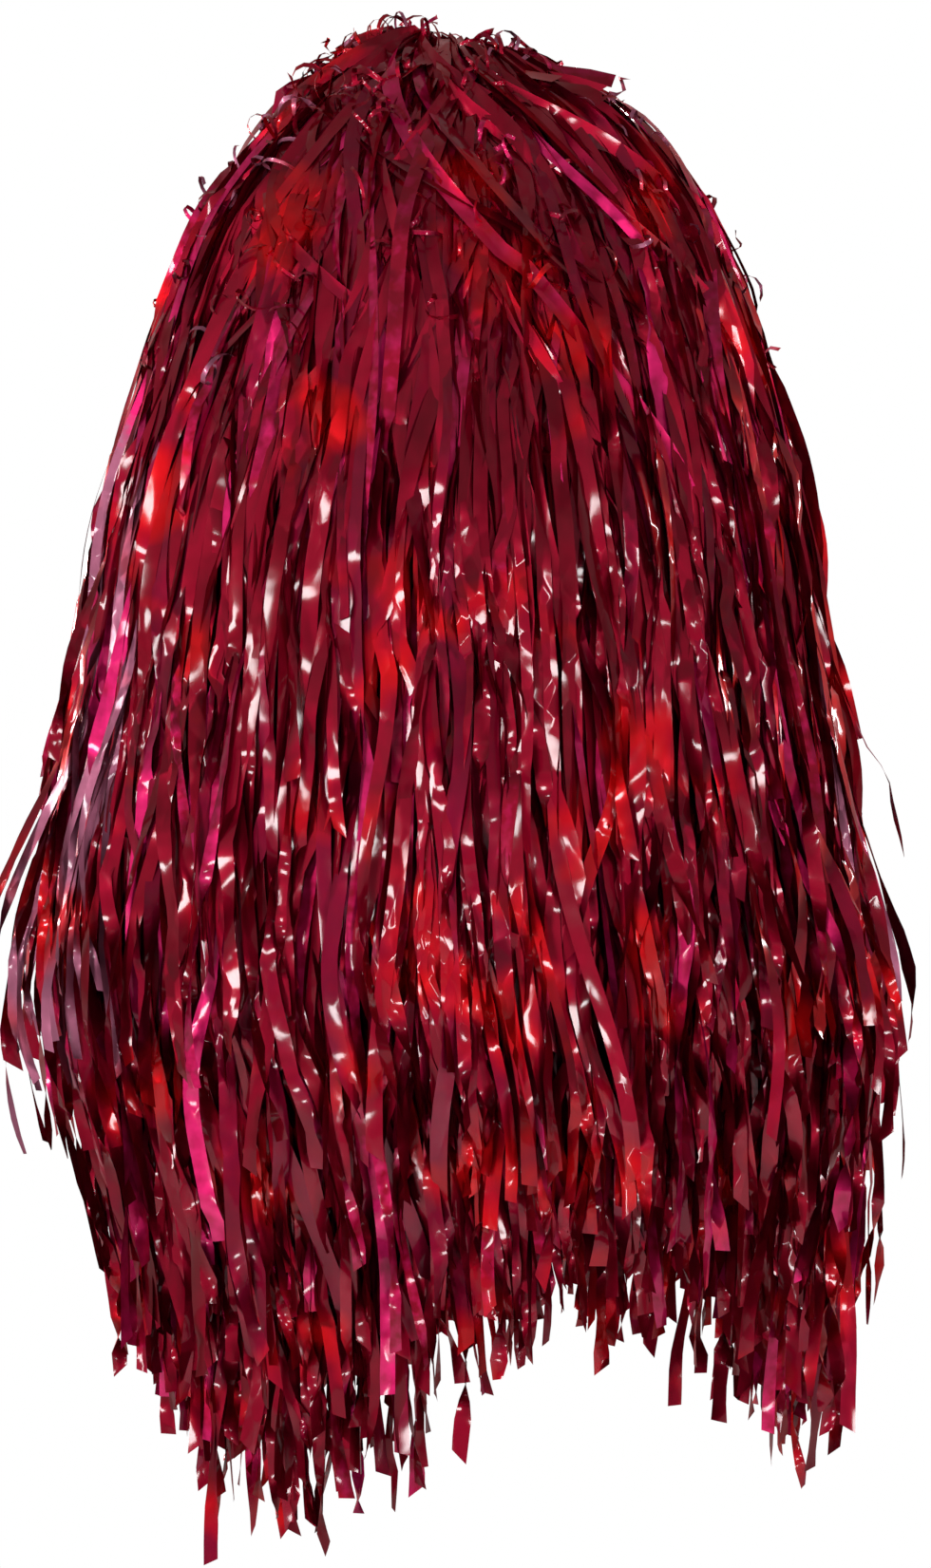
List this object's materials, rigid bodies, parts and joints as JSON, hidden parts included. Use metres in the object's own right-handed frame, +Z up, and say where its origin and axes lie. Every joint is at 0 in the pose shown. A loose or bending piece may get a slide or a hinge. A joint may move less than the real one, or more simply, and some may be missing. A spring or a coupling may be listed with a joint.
{
  "type": "cheer pom pom",
  "caption": "Hand-held cheer pom pom: a loop handle with a padded grip bar inside a round crown of metallic film strips that hang down all around the hand.",
  "frame": {"origin": "centre of the grip bar that the hand closes round", "axes": "+X along the grip bar, +Z up through the clamped neck to the crown, +Y away from the viewer; the strips hang along -Z"},
  "size_m": [0.216, 0.216, 0.3713],
  "materials": {
    "film_outer": "metallic crimson film",
    "film_inner": "metallic dark crimson film",
    "film_crown": "metallic crimson and magenta film",
    "handle_plastic": "fine moulded texture",
    "foam": "closed-cell foam",
    "nylon": "satin",
    "steel": "zinc plated"
  },
  "bodies": {
    "handle": {"handle_front_shell": "handle_plastic", "handle_rear_shell": "handle_plastic", "handle_screws": "steel", "grip_sleeve": "foam", "anchor_pin": "steel", "film_core": "film_inner", "film_neck": "film_inner", "cable_tie": "nylon", "crown_fringe_01": "film_crown", "crown_fringe_02": "film_crown", "crown_fringe_03": "film_crown", "crown_fringe_04": "film_crown", "crown_fringe_05": "film_crown", "crown_fringe_06": "film_crown"},
    "tuft_01": {"outer_fringe_01": "film_outer", "inner_fringe_01": "film_inner"},
    "tuft_02": {"outer_fringe_02": "film_outer", "inner_fringe_02": "film_inner"},
    "tuft_03": {"outer_fringe_03": "film_outer", "inner_fringe_03": "film_inner"},
    "tuft_04": {"outer_fringe_04": "film_outer", "inner_fringe_04": "film_inner"},
    "tuft_05": {"outer_fringe_05": "film_outer", "inner_fringe_05": "film_inner"},
    "tuft_06": {"outer_fringe_06": "film_outer", "inner_fringe_06": "film_inner"},
    "tuft_07": {"outer_fringe_07": "film_outer", "inner_fringe_07": "film_inner"},
    "tuft_08": {"outer_fringe_08": "film_outer", "inner_fringe_08": "film_inner"},
    "tuft_09": {"outer_fringe_09": "film_outer", "inner_fringe_09": "film_inner"},
    "tuft_10": {"outer_fringe_10": "film_outer", "inner_fringe_10": "film_inner"},
    "tuft_11": {"outer_fringe_11": "film_outer", "inner_fringe_11": "film_inner"},
    "tuft_12": {"outer_fringe_12": "film_outer", "inner_fringe_12": "film_inner"}
  },
  "joints": [
    {"name": "tuft_01_flare", "type": "hinge", "parent": "handle", "child": "tuft_01", "pos_m": [0.03671, 0.00983, 0.054], "axis": [0.2588, -0.9659, 0], "range_deg": [0, 70]},
    {"name": "tuft_02_flare", "type": "hinge", "parent": "handle", "child": "tuft_02", "pos_m": [0.02687, 0.02687, 0.054], "axis": [0.7071, -0.7071, 0], "range_deg": [0, 70]},
    {"name": "tuft_03_flare", "type": "hinge", "parent": "handle", "child": "tuft_03", "pos_m": [0.00983, 0.03671, 0.054], "axis": [0.9659, -0.2588, 0], "range_deg": [0, 70]},
    {"name": "tuft_04_flare", "type": "hinge", "parent": "handle", "child": "tuft_04", "pos_m": [-0.00983, 0.03671, 0.054], "axis": [0.9659, 0.2588, 0], "range_deg": [0, 70]},
    {"name": "tuft_05_flare", "type": "hinge", "parent": "handle", "child": "tuft_05", "pos_m": [-0.02687, 0.02687, 0.054], "axis": [0.7071, 0.7071, 0], "range_deg": [0, 70]},
    {"name": "tuft_06_flare", "type": "hinge", "parent": "handle", "child": "tuft_06", "pos_m": [-0.03671, 0.00983, 0.054], "axis": [0.2588, 0.9659, 0], "range_deg": [0, 70]},
    {"name": "tuft_07_flare", "type": "hinge", "parent": "handle", "child": "tuft_07", "pos_m": [-0.03671, -0.00983, 0.054], "axis": [-0.2588, 0.9659, 0], "range_deg": [0, 70]},
    {"name": "tuft_08_flare", "type": "hinge", "parent": "handle", "child": "tuft_08", "pos_m": [-0.02687, -0.02687, 0.054], "axis": [-0.7071, 0.7071, 0], "range_deg": [0, 70]},
    {"name": "tuft_09_flare", "type": "hinge", "parent": "handle", "child": "tuft_09", "pos_m": [-0.00983, -0.03671, 0.054], "axis": [-0.9659, 0.2588, 0], "range_deg": [0, 70]},
    {"name": "tuft_10_flare", "type": "hinge", "parent": "handle", "child": "tuft_10", "pos_m": [0.00983, -0.03671, 0.054], "axis": [-0.9659, -0.2588, 0], "range_deg": [0, 70]},
    {"name": "tuft_11_flare", "type": "hinge", "parent": "handle", "child": "tuft_11", "pos_m": [0.02687, -0.02687, 0.054], "axis": [-0.7071, -0.7071, 0], "range_deg": [0, 70]},
    {"name": "tuft_12_flare", "type": "hinge", "parent": "handle", "child": "tuft_12", "pos_m": [0.03671, -0.00983, 0.054], "axis": [-0.2588, -0.9659, 0], "range_deg": [0, 70]}
  ]
}
